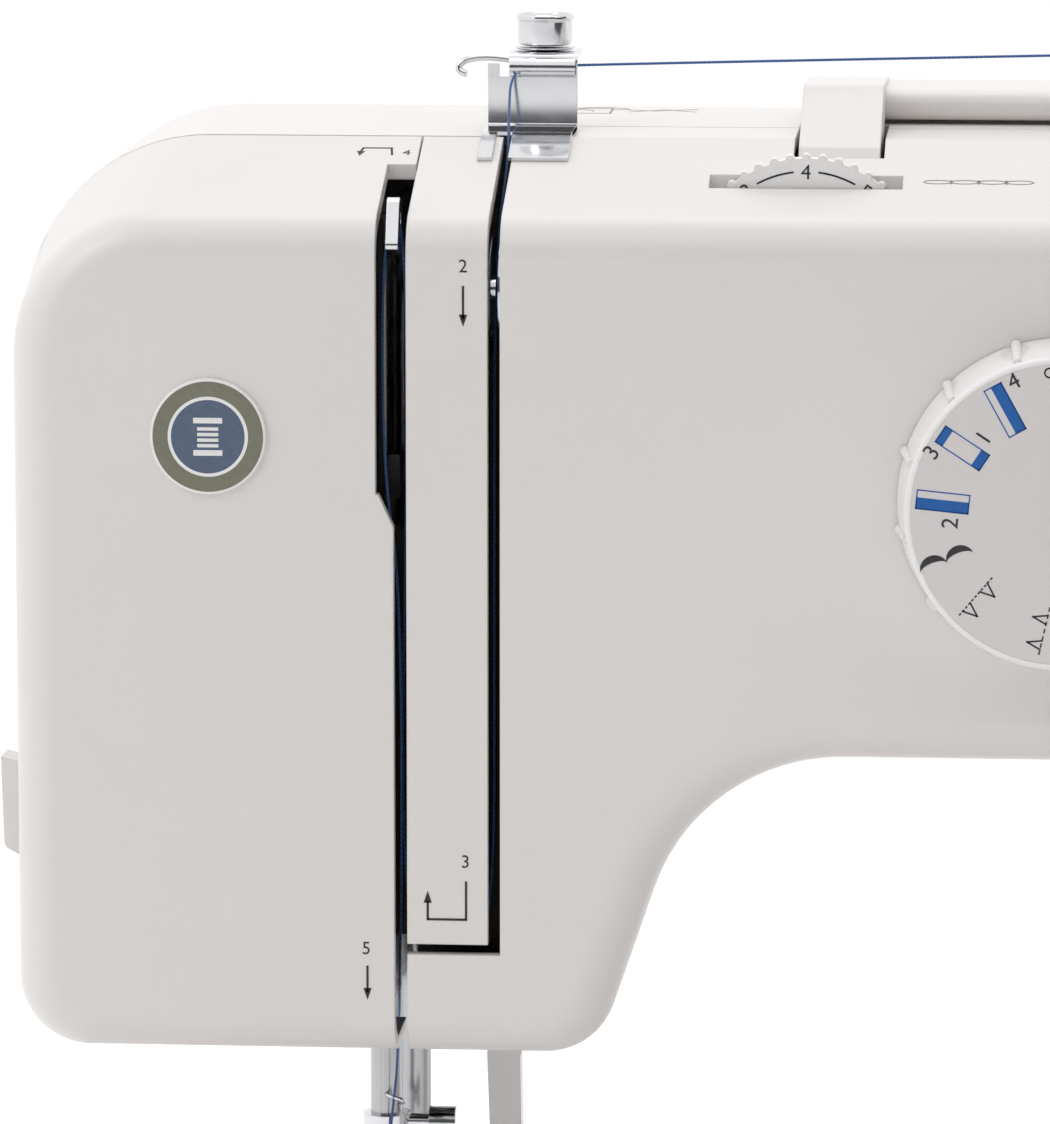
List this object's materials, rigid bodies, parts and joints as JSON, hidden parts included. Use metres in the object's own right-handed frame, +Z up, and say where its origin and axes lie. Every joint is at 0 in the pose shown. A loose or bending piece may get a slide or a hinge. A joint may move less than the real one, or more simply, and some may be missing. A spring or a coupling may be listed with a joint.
{
  "type": "sewing machine",
  "caption": "Free-arm domestic sewing machine with slide-off extension table, knob controls, vertical threading slots and a fold-down carrying handle.",
  "frame": {"origin": "on the table surface under the middle of the machine, between the rubber feet", "axes": "+Z up, +X towards the handwheel, -Y towards the person sewing"},
  "size_m": [0.386, 0.16, 0.3295],
  "materials": {
    "white_plastic": "satin moulded ABS, warm white",
    "black_plastic": "matte black plastic",
    "rubber": "matte rubber",
    "cast_metal": "as die-cast",
    "steel": "ground steel",
    "chrome": "polished chrome",
    "bronze": "sintered bronze",
    "motor_black": "black enamel",
    "glass": "clear glass",
    "clear_plastic": "clear moulded plastic",
    "blue_thread": "mercerised blue sewing thread",
    "badge_enamel": "enamelled badge with a grey ring"
  },
  "bodies": {
    "machine_frame": {"base_plate": "white_plastic", "rubber_feet": "rubber", "arm_casting": "cast_metal", "bed_casting": "cast_metal", "front_cover": "white_plastic", "rear_cover": "white_plastic", "threading_panel": "white_plastic", "thread_channel": "black_plastic", "bed_cover": "white_plastic", "needle_plate": "chrome", "case_screws": "steel", "shaft_bushes": "bronze", "top_thread_guide": "chrome", "pretension_unit": "chrome", "tension_discs": "chrome", "motor": "motor_black", "drive_belt": "rubber", "timing_belt": "rubber", "lamp_bulb": "glass", "power_inlet": "black_plastic", "shuttle_race": "steel", "spool_pin": "white_plastic", "presser_spring": "steel", "hinge_pins": "steel", "bobbin_case": "chrome", "upper_thread": "blue_thread"},
    "handle": {"carry_handle": "white_plastic"},
    "face_door": {"face_cover": "white_plastic", "badge": "badge_enamel", "thread_cutter": "white_plastic"},
    "upper_shaft": {"handwheel": "white_plastic", "main_shaft": "steel", "crank_wheel": "cast_metal"},
    "motor_rotor": {"motor_pulley": "steel"},
    "link": {"needle_link": "steel"},
    "needle_frame": {"needle_bar_frame": "steel"},
    "needle_slide": {"needle_bar": "steel", "needle_clamp": "chrome", "needle": "chrome"},
    "take_up": {"take_up_lever": "chrome"},
    "presser": {"presser_bar": "steel", "foot_holder": "chrome"},
    "foot": {"presser_foot": "chrome"},
    "lifter": {"lifter_lever": "white_plastic"},
    "lower_drive": {"lower_shaft": "steel"},
    "sector": {"sector_gear": "steel"},
    "hook": {"shuttle_hook": "steel"},
    "bobbin_spin": {"bobbin": "clear_plastic"},
    "hook_door": {"shuttle_cover": "white_plastic"},
    "feed_lifter": {"feed_bar": "cast_metal"},
    "feed_teeth": {"feed_dog": "steel"},
    "pattern_knob": {"pattern_dial": "white_plastic"},
    "length_knob": {"length_dial": "white_plastic"},
    "tension_wheel": {"tension_dial": "white_plastic"},
    "reverse": {"reverse_lever": "white_plastic"},
    "switch": {"power_switch": "black_plastic"},
    "winder": {"winder_spindle": "white_plastic"},
    "cap": {"spool_cap": "white_plastic"},
    "spool": {"thread_spool": "blue_thread"},
    "table": {"extension_table": "white_plastic"}
  },
  "joints": [
    {"name": "main_shaft_turn", "type": "hinge", "parent": "machine_frame", "child": "upper_shaft", "pos_m": [0, -0.01, 0.258], "axis": [1, 0, 0], "continuous": true},
    {"name": "motor_turn", "type": "hinge", "parent": "machine_frame", "child": "motor_rotor", "pos_m": [0.15, 0.014, 0.118], "axis": [1, 0, 0], "continuous": true},
    {"name": "needle_link_turn", "type": "hinge", "parent": "upper_shaft", "child": "link", "pos_m": [-0.113, -0.01, 0.274], "axis": [1, 0, 0], "continuous": true},
    {"name": "lower_shaft_turn", "type": "hinge", "parent": "machine_frame", "child": "lower_drive", "pos_m": [0, 0.014, 0.05], "axis": [1, 0, 0], "continuous": true},
    {"name": "zigzag_swing", "type": "hinge", "parent": "machine_frame", "child": "needle_frame", "pos_m": [-0.125, -0.004, 0.285], "axis": [0, 1, 0], "range_deg": [-0.85, 0.85]},
    {"name": "needle_bar_slide", "type": "slide", "parent": "needle_frame", "child": "needle_slide", "axis": [0, 0, 1], "range_m": [-0.032, 0]},
    {"name": "take_up_swing", "type": "hinge", "parent": "machine_frame", "child": "take_up", "pos_m": [-0.1195, 0.004, 0.264], "axis": [1, 0, 0], "range_deg": [0, 42]},
    {"name": "presser_lifter_swing", "type": "hinge", "parent": "machine_frame", "child": "lifter", "pos_m": [-0.106, 0.022, 0.158], "axis": [1, 0, 0], "range_deg": [0, 70]},
    {"name": "presser_bar_slide", "type": "slide", "parent": "machine_frame", "child": "presser", "axis": [0, 0, 1], "range_m": [0, 0.006], "deforming": ["presser_spring"]},
    {"name": "presser_foot_tilt", "type": "hinge", "parent": "presser", "child": "foot", "pos_m": [-0.124, 0.003, 0.084], "axis": [1, 0, 0], "range_deg": [-8, 2]},
    {"name": "sector_swing", "type": "hinge", "parent": "machine_frame", "child": "sector", "pos_m": [-0.098, 0.011, 0.05], "axis": [0, 1, 0], "range_deg": [-38.57, 38.57]},
    {"name": "hook_swing", "type": "hinge", "parent": "machine_frame", "child": "hook", "pos_m": [-0.125, 0, 0.05], "axis": [0, 1, 0], "range_deg": [-90, 90]},
    {"name": "bobbin_turn", "type": "hinge", "parent": "machine_frame", "child": "bobbin_spin", "pos_m": [-0.125, -0.025, 0.05], "axis": [0, 1, 0], "continuous": true},
    {"name": "shuttle_cover_open", "type": "hinge", "parent": "machine_frame", "child": "hook_door", "pos_m": [-0.125, -0.04075, 0.03725], "axis": [1, 0, 0], "range_deg": [0, 90]},
    {"name": "feed_dog_lift", "type": "slide", "parent": "machine_frame", "child": "feed_lifter", "axis": [0, 0, 1], "range_m": [-0.0024, 0]},
    {"name": "feed_dog_travel", "type": "slide", "parent": "feed_lifter", "child": "feed_teeth", "axis": [0, 1, 0], "range_m": [-0.002, 0.002]},
    {"name": "pattern_dial_turn", "type": "hinge", "parent": "machine_frame", "child": "pattern_knob", "pos_m": [-0.0005, -0.06, 0.2427], "axis": [0, 1, 0], "continuous": true},
    {"name": "length_dial_turn", "type": "hinge", "parent": "machine_frame", "child": "length_knob", "pos_m": [0.121, -0.06, 0.243], "axis": [0, 1, 0], "range_deg": [0, 270]},
    {"name": "tension_dial_turn", "type": "hinge", "parent": "machine_frame", "child": "tension_wheel", "pos_m": [-0.0468, -0.036, 0.281], "axis": [0, 1, 0], "range_deg": [-160, 160]},
    {"name": "reverse_lever_press", "type": "hinge", "parent": "machine_frame", "child": "reverse", "pos_m": [0.121, -0.02, 0.15], "axis": [1, 0, 0], "range_deg": [0, 12], "stiffness_Nm_per_rad": 1.5, "springref_deg": -2.86},
    {"name": "power_switch_rock", "type": "hinge", "parent": "machine_frame", "child": "switch", "pos_m": [0.168, 0.028, 0.128], "axis": [0, 1, 0], "range_deg": [0, 16]},
    {"name": "winder_shift", "type": "slide", "parent": "machine_frame", "child": "winder", "axis": [1, 0, 0], "range_m": [0, 0.008]},
    {"name": "spool_cap_pull", "type": "slide", "parent": "machine_frame", "child": "cap", "axis": [-1, 0, 0], "range_m": [0, 0.02]},
    {"name": "spool_turn", "type": "hinge", "parent": "machine_frame", "child": "spool", "pos_m": [0.11, 0.022, 0.318], "axis": [1, 0, 0], "continuous": true},
    {"name": "handle_lift", "type": "hinge", "parent": "machine_frame", "child": "handle", "pos_m": [0, -0.008, 0.293], "axis": [1, 0, 0], "range_deg": [0, 90], "deforming": ["upper_thread"]},
    {"name": "face_cover_open", "type": "hinge", "parent": "machine_frame", "child": "face_door", "pos_m": [-0.1862, -0.0218, 0.21], "axis": [0, 0, -1], "range_deg": [0, 90]},
    {"name": "extension_table_slide", "type": "slide", "parent": "machine_frame", "child": "table", "axis": [-1, 0, 0], "range_m": [0, 0.24]}
  ],
  "couplings": [
    {"joint": "motor_turn", "follows": "main_shaft_turn", "ratio": 4.5},
    {"joint": "needle_link_turn", "follows": "main_shaft_turn", "ratio": -1},
    {"joint": "lower_shaft_turn", "follows": "main_shaft_turn", "ratio": 1},
    {"joint": "take_up_swing", "follows": "needle_bar_slide", "rad_per_m": -22.905},
    {"joint": "presser_lifter_swing", "follows": "presser_bar_slide", "rad_per_m": 203.6},
    {"joint": "hook_swing", "follows": "sector_swing", "ratio": -2.3333}
  ]
}
